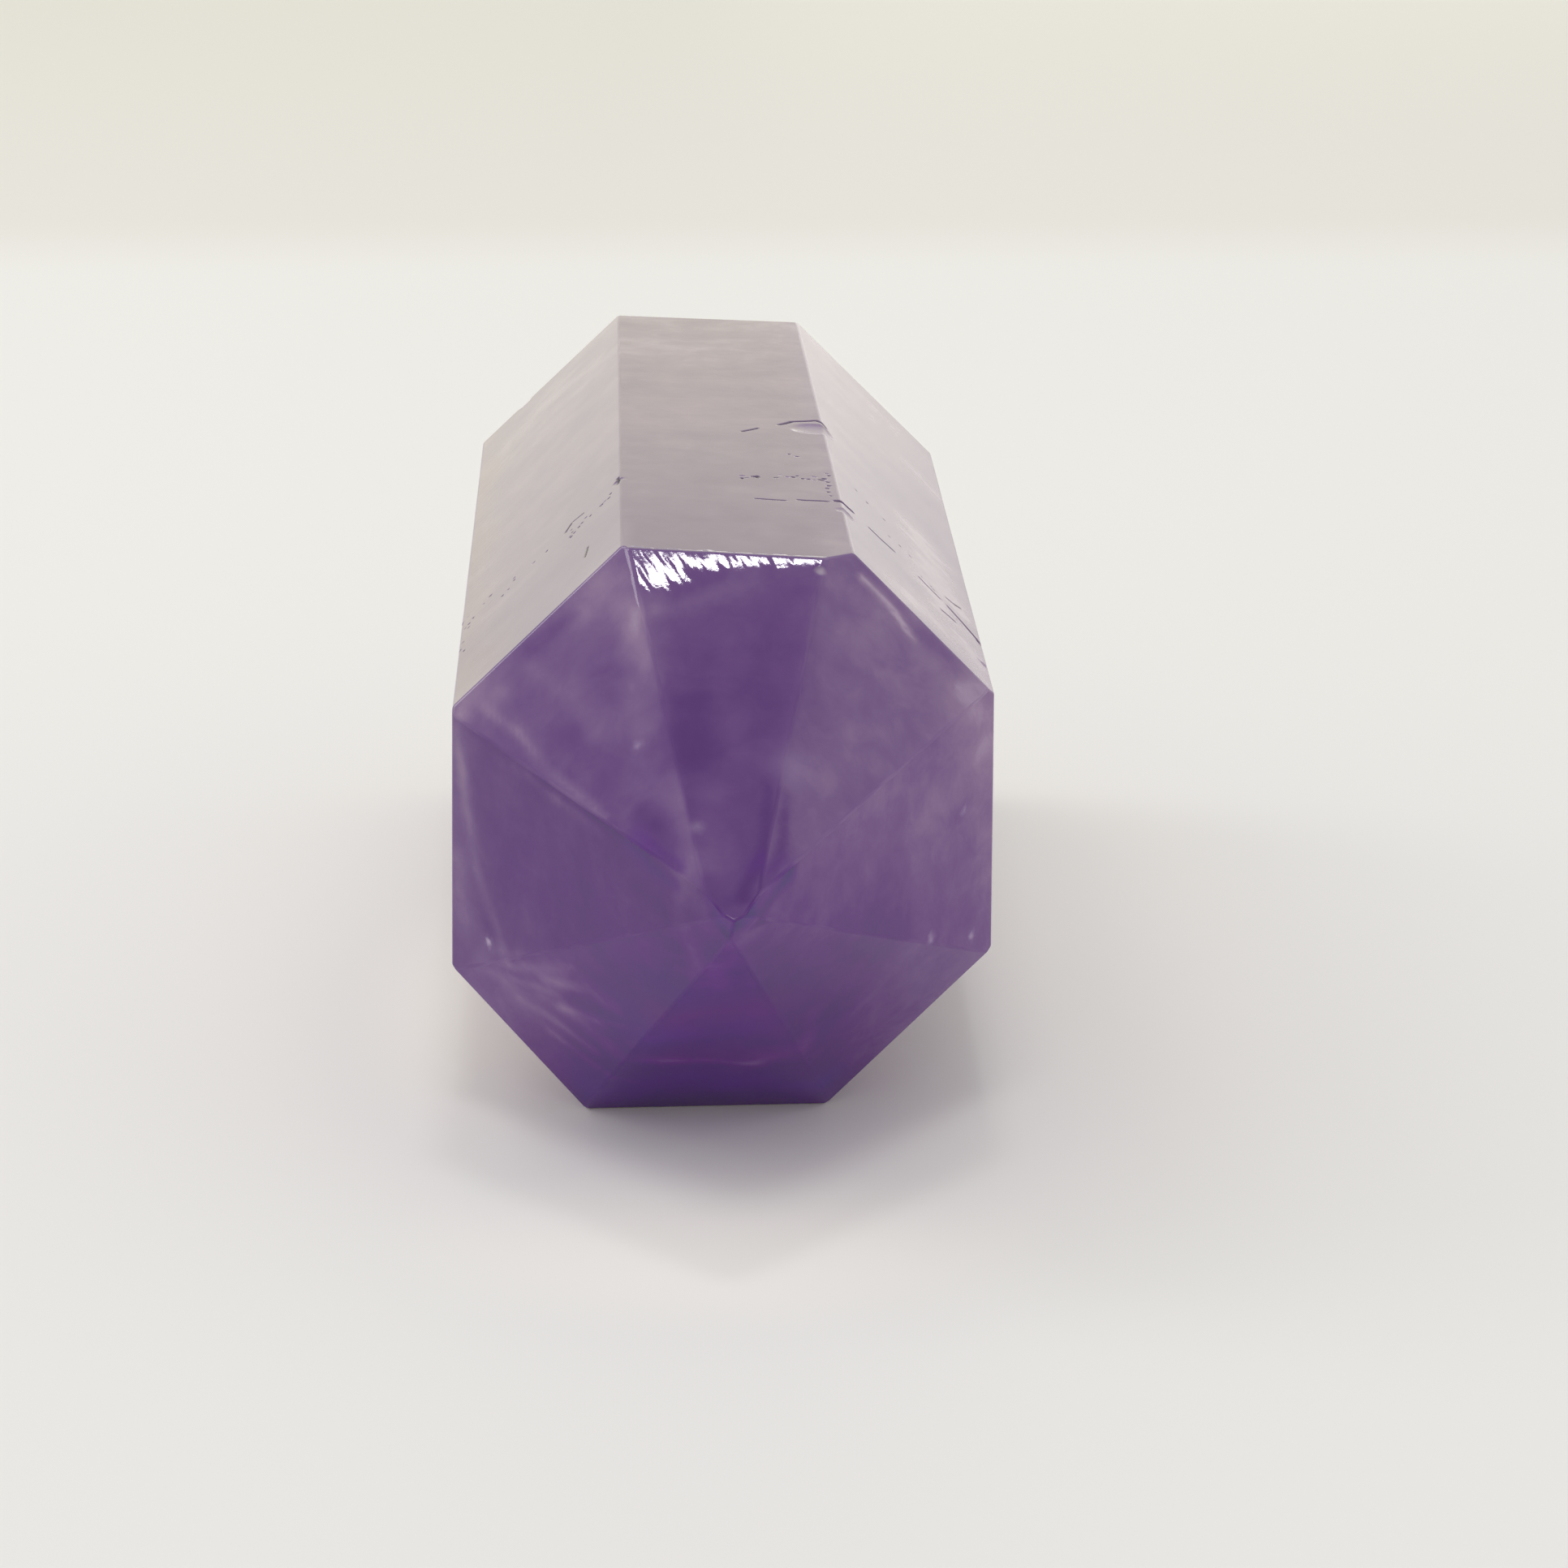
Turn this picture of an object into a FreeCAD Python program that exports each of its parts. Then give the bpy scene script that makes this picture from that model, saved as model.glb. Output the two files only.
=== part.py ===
"""Hand-cut amethyst massage point, in millimetres.

One solid piece of stone: an eight-sided prism that ends in a low eight-sided tip. It lies on its
bottom flat, which is the plane z = 0. The long axis runs along Y, with the tip towards -Y and the
flat base towards +Y, and +Z is up.

The stone is made the way a lapidary makes it. A sawn blank is ground flat by flat, and every flat
has its own setting: how far it is turned about the long axis, how far it is tilted, and how deep it
is ground. By hand no two settings come out quite alike, so each has a cell of its own. A lap that
would do the grinding is a block whose lower face lies on the flat, and it removes all above it.
"""

import FreeCAD, Part
import os

NODE = "amethyst_point"

# Driving dimensions: alias, value, what it is.
MAIN_SIZES = [
    ("girdle_y", -19.2, "where the prism ends and the tip begins"),
    ("base_y", 36.8, "where the flat base is"),
    ("blank_width", 32.0, "width and height of the sawn blank"),
    ("blank_margin", 4.0, "spare length of the blank at each end"),
    ("lap_width", 60.0, "width of the block of stone that one grinding removes"),
    ("lap_length", 160.0, "length of that block"),
    ("lap_depth", 20.0, "depth of that block"),
    ("worn_edge", 0.12, "radius that polishing leaves on every edge"),
]

# Flats along the prism: name, turn from straight up towards +X (degrees), distance from the long
# axis at the girdle, and lean of the flat towards the axis at its base end (degrees).
SIDE_FLATS = [
    ("top", 2.5, 13.0, 0.0),
    ("upper_right", 45.0, 13.3, 0.7),
    ("right", 90.0, 12.4, 0.0),
    ("lower_right", 135.0, 12.8, 0.0),
    ("bottom", 180.0, 13.3, 0.0),
    ("lower_left", 228.0, 13.5, 0.0),
    ("left", 271.0, 12.2, 0.0),
    ("upper_left", 316.5, 12.6, -0.2),
]

# Flats of the tip: name, turn as above (degrees), slope measured from a plane square to the long
# axis (degrees), and how far past the girdle the flat would meet the long axis.
TIP_FLATS = [
    ("top", -0.5, 55.0, 19.0),
    ("upper_right", 40.0, 56.0, 19.8),
    ("right", 91.0, 56.0, 18.5),
    ("lower_right", 136.5, 53.0, 17.05),
    ("bottom", 178.0, 52.0, 16.9),
    ("lower_left", 231.0, 51.0, 16.65),
    ("left", 268.0, 55.0, 17.5),
    ("upper_left", 318.0, 57.0, 19.4),
]

# The bottom flat is the plane z = 0, so the long axis is as high as that flat is far from it.
AXIS_HEIGHT = "Dimensions.side_bottom_reach"

ALONG_Y = "vector(0; 1; 0)"
ALONG_X = "vector(1; 0; 0)"


def add_cell(sheet, alias, value, meaning):
    """Writes one driving dimension on the next free row of the sheet."""
    row = len(sheet.getUsedCells()) // 3 + 1
    sheet.set(f"A{row}", alias)
    sheet.set(f"B{row}", str(value))
    sheet.set(f"C{row}", meaning)
    sheet.setAlias(f"B{row}", alias)


def fill_sheet(doc):
    """The spreadsheet that holds every driving dimension."""
    sheet = doc.addObject("Spreadsheet::Sheet", "Dimensions")
    for alias, value, meaning in MAIN_SIZES:
        add_cell(sheet, alias, value, meaning)
    for name, turn, reach, lean in SIDE_FLATS:
        add_cell(sheet, f"side_{name}_turn", turn, "turn about the long axis")
        add_cell(sheet, f"side_{name}_reach", reach, "distance from the long axis")
        add_cell(sheet, f"side_{name}_lean", lean, "lean towards the axis at the base")
    for name, turn, slope, height in TIP_FLATS:
        add_cell(sheet, f"tip_{name}_turn", turn, "turn about the long axis")
        add_cell(sheet, f"tip_{name}_slope", slope, "slope from square to the long axis")
        add_cell(sheet, f"tip_{name}_height", height, "where it meets the long axis")
    doc.recompute()
    return sheet


def size_box(box, width, length, depth):
    """Binds a box's three sizes to expressions."""
    box.setExpression("Length", width)
    box.setExpression("Width", length)
    box.setExpression("Height", depth)


def saw_blank(body):
    """The sawn block that the stone is ground from."""
    blank = body.newObject("PartDesign::AdditiveBox", "blank")
    size_box(
        blank,
        "Dimensions.blank_width",
        "Dimensions.base_y - Dimensions.girdle_y + Dimensions.tip_top_height"
        " + 2 * Dimensions.blank_margin",
        "Dimensions.blank_width",
    )
    corner = (
        "vector(-Dimensions.blank_width / 2;"
        " Dimensions.girdle_y - Dimensions.tip_top_height - Dimensions.blank_margin;"
        f" {AXIS_HEIGHT} - Dimensions.blank_width / 2)"
    )
    blank.setExpression("Placement", f"placement({corner}; rotation({ALONG_X}; 0))")
    return blank


def grind(body, name, centre_y, turn, tilt, reach):
    """Grinds one flat.

    centre_y is the point of the long axis that the flat is measured from. The flat is turned by
    turn about the axis, stands reach away from that point, and is tilted by tilt about its own
    crosswise line.
    """
    lap = body.newObject("PartDesign::SubtractiveBox", name)
    size_box(lap, "Dimensions.lap_width", "Dimensions.lap_length", "Dimensions.lap_depth")
    lap.setExpression(
        "Placement",
        f"placement(vector(0; {centre_y}; {AXIS_HEIGHT}); rotation({ALONG_Y}; {turn}))"
        f" * placement(vector(0; 0; {reach}); rotation({ALONG_X}; {tilt}))"
        " * placement(vector(-Dimensions.lap_width / 2; -Dimensions.lap_length / 2; 0);"
        f" rotation({ALONG_X}; 0))",
    )
    return lap


def grind_sides(body):
    """The eight flats along the prism."""
    for name, _turn, _reach, _lean in SIDE_FLATS:
        cell = f"Dimensions.side_{name}"
        grind(
            body,
            f"side_{name}",
            "Dimensions.girdle_y",
            f"{cell}_turn",
            f"-{cell}_lean",
            f"{cell}_reach",
        )


def grind_base(body):
    """The flat base, square to the long axis."""
    grind(body, "base", "Dimensions.base_y", "0", "-90", "0")


def grind_tip(body):
    """The eight flats that meet at the tip."""
    for name, _turn, _slope, _height in TIP_FLATS:
        cell = f"Dimensions.tip_{name}"
        grind(
            body,
            f"tip_{name}",
            f"Dimensions.girdle_y - {cell}_height",
            f"{cell}_turn",
            f"90 - {cell}_slope",
            "0",
        )


def wear_edges(doc, body):
    """Polishing takes the sharpness off every edge."""
    ground = body.Tip
    edges = [f"Edge{number + 1}" for number in range(len(ground.Shape.Edges))]
    worn = body.newObject("PartDesign::Fillet", "worn_edges")
    worn.Base = (ground, edges)
    worn.setExpression("Radius", "Dimensions.worn_edge")
    doc.recompute()


def check_document(doc, body):
    """Stops if any object failed or the stone isn't one closed solid."""
    for item in doc.Objects:
        if {"Invalid", "Error"} & set(item.State):
            raise RuntimeError(f"{item.Name} failed: {item.State}")
    shape = body.Shape
    if shape.isNull() or not shape.isValid() or len(shape.Solids) != 1:
        raise RuntimeError(f"{body.Label} is not one valid solid")


def main():
    doc = FreeCAD.newDocument("amethyst_massage_point")
    fill_sheet(doc)
    body = doc.addObject("PartDesign::Body", NODE)
    body.Label = NODE
    saw_blank(body)
    grind_sides(body)
    grind_base(body)
    grind_tip(body)
    doc.recompute()
    wear_edges(doc, body)
    check_document(doc, body)
    os.makedirs("parts", exist_ok=True)
    body.Shape.exportStep(f"parts/{body.Label}.step")
    print(f"{body.Label}: {len(body.Shape.Faces)} faces, {body.Shape.Volume:.1f} cubic mm")
    print(body.Shape.BoundBox)


main()
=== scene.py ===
"""Amethyst massage point: the looks of the one stone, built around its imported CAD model."""

import math
import random
from itertools import combinations

import bmesh
import bpy
import numpy as np
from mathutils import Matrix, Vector, noise
from mathutils.geometry import delaunay_2d_cdt


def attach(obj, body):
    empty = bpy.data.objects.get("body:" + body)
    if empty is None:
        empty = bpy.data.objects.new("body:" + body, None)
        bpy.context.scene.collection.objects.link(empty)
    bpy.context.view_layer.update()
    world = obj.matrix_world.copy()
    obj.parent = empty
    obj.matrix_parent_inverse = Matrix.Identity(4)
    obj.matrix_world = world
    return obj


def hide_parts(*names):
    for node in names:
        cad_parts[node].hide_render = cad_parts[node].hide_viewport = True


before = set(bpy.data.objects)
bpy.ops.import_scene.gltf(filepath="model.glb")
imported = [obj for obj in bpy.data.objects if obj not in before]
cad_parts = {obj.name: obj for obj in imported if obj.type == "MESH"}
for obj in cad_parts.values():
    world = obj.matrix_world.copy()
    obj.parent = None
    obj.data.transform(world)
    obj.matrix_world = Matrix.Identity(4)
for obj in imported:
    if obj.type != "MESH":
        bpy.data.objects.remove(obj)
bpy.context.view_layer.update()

noise.seed_set(7)  # without a seed, noise_vector differs from run to run

MM = 0.001  # places and lengths in this script are in millimetres; Blender's are in metres
NODE = "amethyst_point"
GIRDLE = -19.2  # where the prism ends and the tip begins, along y

# What counts as the same: points and planes this near, and normals within this angle
NEAR = 1e-3
SAME_ANGLE = math.radians(0.5)
SMALLEST_FLAT = 4.0  # square mm; the CAD model's own rounded edges are smaller

# The mesh: how far polishing has cut back the edges, and how fine it is in each zone
EDGE_WEAR = 0.13
EDGE_SEGMENTS = 3
PRISM_STEP = 0.96
TIP_STEP = 0.30
ROLL_STEP = 0.13
CHIP_STEP = 0.13
MARK_STEP = 0.07
STEP_GROWTH = 0.5  # how fast triangles may grow with the distance from a mark

# Hand polishing leaves the flats slightly wavy
WAVE_HEIGHT = 0.010
WAVE_LENGTH = 9.0

# The top edge of the tip's upper flat is rolled over: x, and how wide the roll is there
ROLL = ((-4.9, 4.4), (-2.6, 3.6), (-0.9, 1.9), (1.4, 1.1), (4.9, 0.6))
ROLL_ANGLE = math.radians(9)
ROLL_BULGE = 0.75  # below 1, it leans over sooner
ROLL_DEPTH = 0.1  # how far from the flat's plane a place may be and still be part of the roll

# Cracks and long scratches: width, depth, and the points they pass through; they wander on the way
WANDER = 0.09
WANDER_LENGTH = 0.9
CRACKS = (
    # across the top flat, over its right edge, and down the next flat
    (0.05, 0.04, ((1.7, -8.1, 26.2), (3.4, -8.3, 26.2))),
    (0.06, 0.05, ((3.7, -8.0, 26.1), (5.4, -8.2, 26.1))),
    (0.12, 0.16, ((5.5, -8.1, 26.1), (5.9, -7.9, 25.9), (6.5, -7.8, 25.4))),
    (0.06, 0.08, ((7.1, -7.8, 24.9), (7.8, -7.8, 24.2), (8.5, -7.5, 23.4))),
    (0.07, 0.10, ((9.4, -7.9, 22.4), (10.0, -8.2, 21.9), (10.6, -8.3, 21.3))),
    (0.11, 0.15, ((10.7, -8.2, 21.1), (11.6, -8.9, 20.3), (12.4, -9.9, 19.6))),
    (0.07, 0.10, ((10.4, -11.0, 21.6), (11.2, -10.6, 20.8))),
    (0.06, 0.08, ((10.8, -6.4, 21.0), (11.3, -6.0, 20.6), (11.7, -5.2, 20.2))),
    # the arc round the large chip
    (0.06, 0.05, ((1.4, 7.0, 26.3), (2.4, 8.2, 26.2))),
    (0.08, 0.09, ((3.2, 8.9, 26.2), (4.0, 9.9, 26.1), (5.3, 10.4, 26.1), (5.9, 9.4, 25.8))),
    # on the left
    (0.04, 0.03, ((-6.1, -4.9, 24.9), (-6.8, -4.4, 24.3))),
    (0.06, 0.05, ((-6.8, -4.4, 24.3), (-7.1, -5.4, 24.0))),
    (0.05, 0.03, ((-6.0, -12.6, 25.1), (-6.1, -14.5, 24.9))),
    (0.08, 0.08, ((-4.6, -4.0, 26.4), (-4.6, -5.6, 26.4))),
    # on the sides that face away
    (0.04, 0.03, ((12.4, 7.0, 16.8), (12.4, 8.6, 16.5), (12.4, 10.0, 15.7))),
    (0.04, 0.03, ((-12.2, 20.6, 11.9), (-12.2, 22.0, 11.2), (-12.2, 23.2, 11.1))),
    (0.05, 0.04, ((-9.4, 12.0, 4.2), (-8.6, 13.0, 3.4), (-8.2, 13.2, 3.0))),
    (0.05, 0.04, ((3.4, 36.8, 17.0), (4.3, 36.8, 16.2), (4.6, 36.8, 15.0))),
)

MARK_TAPER = 0.15  # the share of its length in which a crack or nick fades out at each end

# Chips: where, how wide, and how deep
CHIPS = (
    ((5.1, 8.4, 26.1), 2.4, 0.12),
    ((-4.6, -4.8, 26.4), 0.7, 0.08),
    ((6.1, -9.8, 25.9), 1.1, 0.07),
    ((12.2, -14.7, 19.8), 0.7, 0.10),
    ((12.4, -10.0, 19.6), 0.7, 0.08),
    ((4.5, -20.5, 25.6), 0.6, 0.08),
    ((-12.2, -4.0, 19.1), 0.6, 0.08),
    ((12.3, 21.0, 8.8), 0.9, 0.09),
    ((-9.6, 36.7, 21.5), 1.1, 0.11),
    ((11.4, 36.7, 6.4), 1.3, 0.13),
    ((4.0, 36.7, 0.3), 1.0, 0.10),
)

# Small nicks scattered along a line: how many, how far to each side, how long the longest is, and
# the line's ends
NICKS = (
    (20, 0.9, 0.40, ((1.6, -3.4, 26.2), (5.4, -3.0, 26.1))),
    (9, 0.4, 0.28, ((5.2, -1.0, 26.1), (5.5, -7.6, 26.1))),
    (4, 0.4, 0.25, ((3.6, 2.2, 26.1), (4.6, 1.2, 26.1))),
    (14, 0.7, 0.26, ((-4.8, -6.6, 26.2), (-7.6, -7.0, 23.6))),
    (14, 1.7, 0.22, ((-7.4, -5.0, 23.7), (-12.0, -5.0, 19.4))),
    (9, 0.5, 0.30, ((-12.0, -1.6, 19.2), (-12.1, -11.0, 19.2))),
    (12, 0.8, 0.24, ((7.0, -1.0, 24.8), (11.8, -11.0, 20.2))),
    (12, 2.6, 0.35, ((12.4, -4.0, 16.0), (12.4, 26.0, 10.0))),
    (12, 2.6, 0.35, ((-12.2, -6.0, 10.0), (-12.2, 28.0, 16.0))),
    (14, 3.0, 0.35, ((-7.0, 36.8, 9.0), (7.0, 36.8, 19.0))),
    (10, 2.0, 0.30, ((9.0, 0.0, 3.6), (9.2, 30.0, 3.4))),
    (10, 2.0, 0.30, ((-8.6, -10.0, 3.2), (-8.6, 26.0, 3.2))),
)
NICK_WIDTHS = (0.04, 0.07)
NICK_DEPTHS = (0.02, 0.06)
NICK_BEND = 0.15  # how far a nick's middle is off the straight, as a share of its length
WHITE_NICKS = 0.35  # the share that show pale, crushed stone instead of a shadow
CHIP_WHITENESS = 0.6  # how much crushed stone shows in the middle of a chip

# How each flat of the tip shows the stone below it, as painted light and shade, by its turn about the long
# axis in degrees: painted milkiness that changes sharply at its edges, painted milkiness that blends into
# the next flat, how much brighter the flat is painted, and how much is taken off its colour for the table
# it mirrors
TIP_TONES = (
    (0, -0.15, 0.19, 1.00, 0.000),
    (40, 0.06, 0.13, 1.02, 0.006),
    (91, 0.02, 0.24, 1.30, 0.061),
    (136, 0.02, 0.00, 1.34, 0.048),
    (178, 0.00, -0.38, 1.60, 0.047),
    (231, 0.00, 0.07, 1.34, 0.045),
    (268, -0.03, 0.00, 1.14, 0.031),
    (318, 0.05, 0.07, 1.03, 0.000),
)
SHARP_BLEND = 0.05  # how near two flats' planes are where one blends into the other
SOFT_BLEND = 1.6
EDGE_SHARE = 0.3  # the weight, 0 to 1, from which a neighbouring flat's glare counts on an edge
TONE_FADE = 9.0  # how far behind the tip all this fades out

# Veils inside the tip, and some painted light and shade drawn the same way, seen a little below the
# surface:
# strength (above 0 milky, below 0 dark), half width, and the points each passes under. They waver by
# VEIL_WARP over VEIL_WARP_LENGTH, and their strength varies by the share VEIL_PATCHES over
# VEIL_PATCH_LENGTH.
VEIL_DEPTH = 1.2
VEIL_WARP = 0.4
VEIL_WARP_LENGTH = 2.5
VEIL_PATCHES = 0.6
VEIL_PATCH_LENGTH = 1.7
VEILS_AND_PAINTED_LIGHT = (
    # along the left rim and round to the bottom
    (0.17, 0.45, ((-11.9, -19.8, 18.1), (-11.7, -20.0, 15.9), (-10.8, -21.1, 11.8), (-9.9, -22.2, 8.8))),
    (0.12, 0.80, ((-11.9, -19.6, 12.0), (-11.4, -20.2, 8.5), (-9.4, -21.8, 6.2), (-7.4, -23.8, 5.9))),
    (0.24, 0.40, ((-7.4, -23.8, 5.9), (-5.4, -24.4, 4.6), (-2.1, -24.1, 4.0), (1.2, -23.5, 3.5))),
    (0.16, 0.50, ((1.2, -23.5, 3.5), (3.1, -25.0, 4.8), (4.3, -26.7, 6.7))),
    # haze in the left and right corners
    (0.22, 1.60, ((-12.0, -19.4, 18.9), (-10.5, -20.0, 20.0))),
    (0.10, 1.20, ((-11.9, -19.3, 16.0), (-11.8, -19.6, 10.0))),
    (0.12, 2.00, ((10.9, -21.0, 19.6), (11.8, -20.3, 18.4))),
    (0.05, 1.50, ((11.9, -20.0, 18.0), (11.9, -20.0, 11.0))),
    (0.18, 1.30, ((-6.0, -19.9, 24.0), (-5.0, -19.9, 25.1))),
    # wisps at the lower left
    (0.16, 0.35, ((-10.4, -21.6, 8.4), (-9.0, -23.6, 7.9), (-7.6, -25.2, 7.7))),
    (0.18, 0.40, ((-8.4, -24.0, 7.4), (-6.8, -26.5, 7.3), (-5.4, -26.9, 6.6))),
    (0.22, 0.35, ((-9.6, -21.6, 5.6), (-7.6, -23.0, 4.6), (-6.2, -23.5, 4.0))),
    (0.22, 0.30, ((-8.2, -21.6, 4.0), (-6.8, -22.4, 3.2), (-5.9, -22.6, 2.9))),
    # finer wisps between them
    (0.17, 0.28, ((-9.1, -23.5, 8.2), (-8.0, -25.1, 8.4), (-7.1, -26.3, 8.3))),
    (0.15, 0.28, ((-10.0, -22.2, 6.9), (-7.9, -24.0, 6.6))),
    (0.17, 0.28, ((-7.7, -23.4, 5.7), (-6.6, -24.4, 5.8), (-5.7, -25.0, 5.5))),
    (0.16, 0.28, ((-6.0, -25.0, 5.7), (-4.3, -26.8, 6.0))),
    (0.18, 0.26, ((-5.3, -22.8, 2.7), (-3.2, -21.5, 1.8))),
    # the light line beside the edge from the left corner, and the dark one under it
    (0.27, 0.30, ((-10.8, -20.4, 19.5), (-9.0, -23.2, 18.8), (-7.0, -26.4, 17.7), (-5.2, -29.4, 16.7))),
    (-0.17, 0.26, ((-11.4, -20.2, 18.6), (-8.0, -25.6, 17.5), (-4.4, -31.0, 16.4), (-2.0, -34.0, 15.6))),
    (-0.18, 0.70, ((-3.7, -30.6, 17.5), (-2.5, -32.6, 16.9))),
    # rays on the upper left flat
    (0.22, 1.10, ((-4.0, -21.7, 24.4), (-3.6, -24.5, 22.4), (-3.2, -27.0, 20.6))),
    (0.10, 0.70, ((-6.5, -23.0, 20.9), (-5.4, -25.6, 19.7))),
    (0.08, 0.60, ((-4.2, -28.2, 18.6), (-3.0, -30.4, 17.7))),
    (0.10, 0.40, ((-8.6, -20.4, 21.4), (-7.2, -22.6, 20.6))),
    (-0.08, 0.90, ((-6.8, -25.0, 19.6), (-5.0, -28.2, 18.0))),
    # painted reflection: the dark rim just below the edge to the prism
    (-0.14, 0.60, ((-8.6, -19.9, 22.2), (-7.0, -19.9, 23.6))),
    # darker stone on either side of the bottom flat
    (-0.10, 1.70, ((-5.6, -24.4, 5.2), (-2.6, -29.6, 9.0))),
    (-0.08, 1.50, ((4.6, -25.0, 5.6), (2.6, -29.6, 9.2))),
    # dark heart of the upper flat
    (-0.18, 1.00, ((-1.5, -26.8, 21.2), (-1.0, -29.2, 19.5))),
    (-0.08, 1.30, ((2.4, -23.0, 23.8), (2.0, -27.0, 21.0), (1.6, -30.4, 18.7))),
    # painted reflection: the lighter zone under the highlight of the rolled edge
    (0.14, 0.55, ((-2.5, -22.3, 24.3), (-0.7, -21.9, 24.7), (1.6, -20.9, 25.4))),
    (0.06, 1.20, ((0.2, -24.2, 22.9), (0.4, -27.6, 20.6))),
    (0.16, 1.10, ((-0.9, -31.4, 18.0), (-0.2, -33.4, 16.7), (0.2, -34.6, 15.9))),
    # painted shade: the dark image of the stone's back edges, seen through it, down the edge to the apex,
    # with the short one that meets it
    (-0.28, 0.28, ((1.9, -31.0, 18.2), (1.6, -33.4, 16.6), (0.9, -35.8, 14.8), (0.5, -36.6, 14.2))),
    (-0.20, 0.30, ((-0.9, -35.2, 15.0), (0.3, -36.6, 14.1))),
    # milky cloud on the right, with the streak by its upper edge
    (0.06, 2.40, ((3.6, -29.6, 18.6), (6.4, -27.4, 17.4), (8.0, -25.8, 16.6))),
    (0.06, 2.20, ((4.0, -32.0, 14.4), (6.0, -29.4, 12.0))),
    (0.36, 0.25, ((6.2, -19.5, 25.2), (7.7, -19.9, 23.6), (8.7, -20.3, 22.3))),
    # painted reflection: the dark rim just below the edge to the prism
    (-0.12, 0.70, ((6.2, -19.3, 25.4), (9.0, -19.5, 22.6), (10.4, -19.9, 21.2))),
    (-0.08, 1.20, ((5.0, -29.6, 11.6), (7.4, -26.0, 9.2))),
    # pale along the upper right flat of the prism: milky haze, and painted sheen for the light that the
    # flat mirrors
    (0.32, 2.40, ((8.4, -15.2, 23.0), (10.8, -15.2, 20.6), (10.2, 4.0, 21.3))),
    # from the lower left of the apex down: a pale curve
    (0.15, 0.60, ((-1.9, -34.0, 15.2), (-2.0, -33.8, 13.2), (-1.3, -33.4, 11.2), (0.0, -31.4, 9.7))),
)

# Where the stone is deep violet: clear stone, and painted glow and shade along the foot and by the apex;
# strength, half width, points
DEEPS = (
    # along the foot: painted glow of the light that comes through the stone, and painted shade near the
    # table
    (0.80, 1.60, ((-5.6, -21.0, 1.9), (-1.4, -21.9, 2.0), (4.6, -20.9, 1.5))),
    (0.35, 1.60, ((-3.4, -26.6, 6.2), (1.4, -27.6, 6.6))),
    (0.12, 2.60, ((-9.0, -23.6, 13.0), (-4.6, -28.8, 12.6))),
    (0.25, 1.60, ((-5.4, -24.4, 5.2), (-2.6, -29.6, 9.2))),
    (0.18, 1.50, ((4.6, -25.0, 5.6), (2.6, -29.6, 9.2))),
    # painted shade below the dark lines that meet at the apex, part of the same image of the stone's back
    # edges
    (0.45, 0.35, ((-4.1, -31.0, 15.7), (-3.1, -32.5, 15.3), (-2.2, -33.7, 14.9))),
    (0.45, 0.40, ((-0.3, -36.3, 13.9), (0.3, -36.6, 13.6))),
    (0.40, 0.30, ((0.6, -36.6, 14.2), (1.9, -34.8, 15.0), (2.8, -33.7, 15.2))),
)

# Where the violet turns to magenta: strength, half width, points
BLUSHES = (
    (0.30, 1.7, ((-1.8, -28.0, 7.2), (1.4, -29.6, 8.2), (3.6, -27.2, 6.6))),
    (0.20, 0.9, ((-2.0, -24.6, 4.4), (2.2, -24.4, 4.2))),
)

# Small bright flecks inside: where, how wide, and how bright
FLECKS = (
    ((-10.5, -21.4, 8.7), 0.16, 0.8),
    ((9.3, -23.6, 9.4), 0.20, 0.5),
    ((11.4, -20.7, 8.6), 0.16, 0.5),
    ((10.7, -20.8, 20.3), 0.14, 0.5),
    ((10.9, -21.5, 14.7), 0.14, 0.4),
    ((-3.7, -27.6, 19.5), 0.20, 0.3),
    ((-1.2, -32.6, 17.2), 0.30, 0.2),
    ((2.8, -29.6, 18.9), 1.00, 0.1),
)


def link(name, data):
    """A new object in the scene."""
    thing = bpy.data.objects.new(name, data)
    bpy.context.scene.collection.objects.link(thing)
    return thing


# ---------------------------------------------------------------- the stone's flats

def flats_of(node):
    """The outward normals of the CAD model's flats, and their distances from the origin.

    Triangles belong to one flat when their rounded normals and distances are the same.
    """
    groups = {}
    for polygon in node.data.polygons:
        normal = np.array(polygon.normal)
        reach = float(normal @ np.array(polygon.center)) / MM
        group = groups.setdefault((*np.round(normal, 2), round(reach, 1)), [np.zeros(3), 0.0, 0.0])
        group[0] += normal * polygon.area
        group[1] += reach * polygon.area / MM**2
        group[2] += polygon.area / MM**2
    flats = [group for group in groups.values() if group[2] > SMALLEST_FLAT]
    normals = np.array([normal / np.linalg.norm(normal) for normal, _, _ in flats])
    return normals, np.array([reach / area for _, reach, area in flats])


NORMALS, REACHES = flats_of(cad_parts[NODE])
TIP_FLATS = [k for k in range(len(REACHES)) if NORMALS[k, 1] < -0.3]  # the ones that face forward
TOP = int(np.argmax(NORMALS[:, 2]))
TIP_TOP = max(TIP_FLATS, key=lambda k: NORMALS[k, 2])
DULL = int(np.argmax(NORMALS @ (1.0, 0.0, 1.0)))  # the upper right flat is the least polished


def corners():
    """The corners of the convex solid that the flats enclose."""
    found = []
    for three in combinations(range(len(REACHES)), 3):
        three = list(three)
        if abs(np.linalg.det(NORMALS[three])) < 1e-6:  # they have no point in common
            continue
        point = np.linalg.solve(NORMALS[three], REACHES[three])
        if (NORMALS @ point <= REACHES + NEAR / 10).all():
            if all(np.linalg.norm(point - other) > NEAR for other in found):
                found.append(point)
    return found


def nearest_flat(point):
    """The number of the flat that a point near the surface belongs to."""
    return int(np.argmax(NORMALS @ point - REACHES))


def on_surface(point):
    """A point moved onto the nearest flat."""
    point = np.array(point, float)
    flat = nearest_flat(point)
    return point - (NORMALS[flat] @ point - REACHES[flat]) * NORMALS[flat]


# ---------------------------------------------------------------- marks and fields

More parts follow.
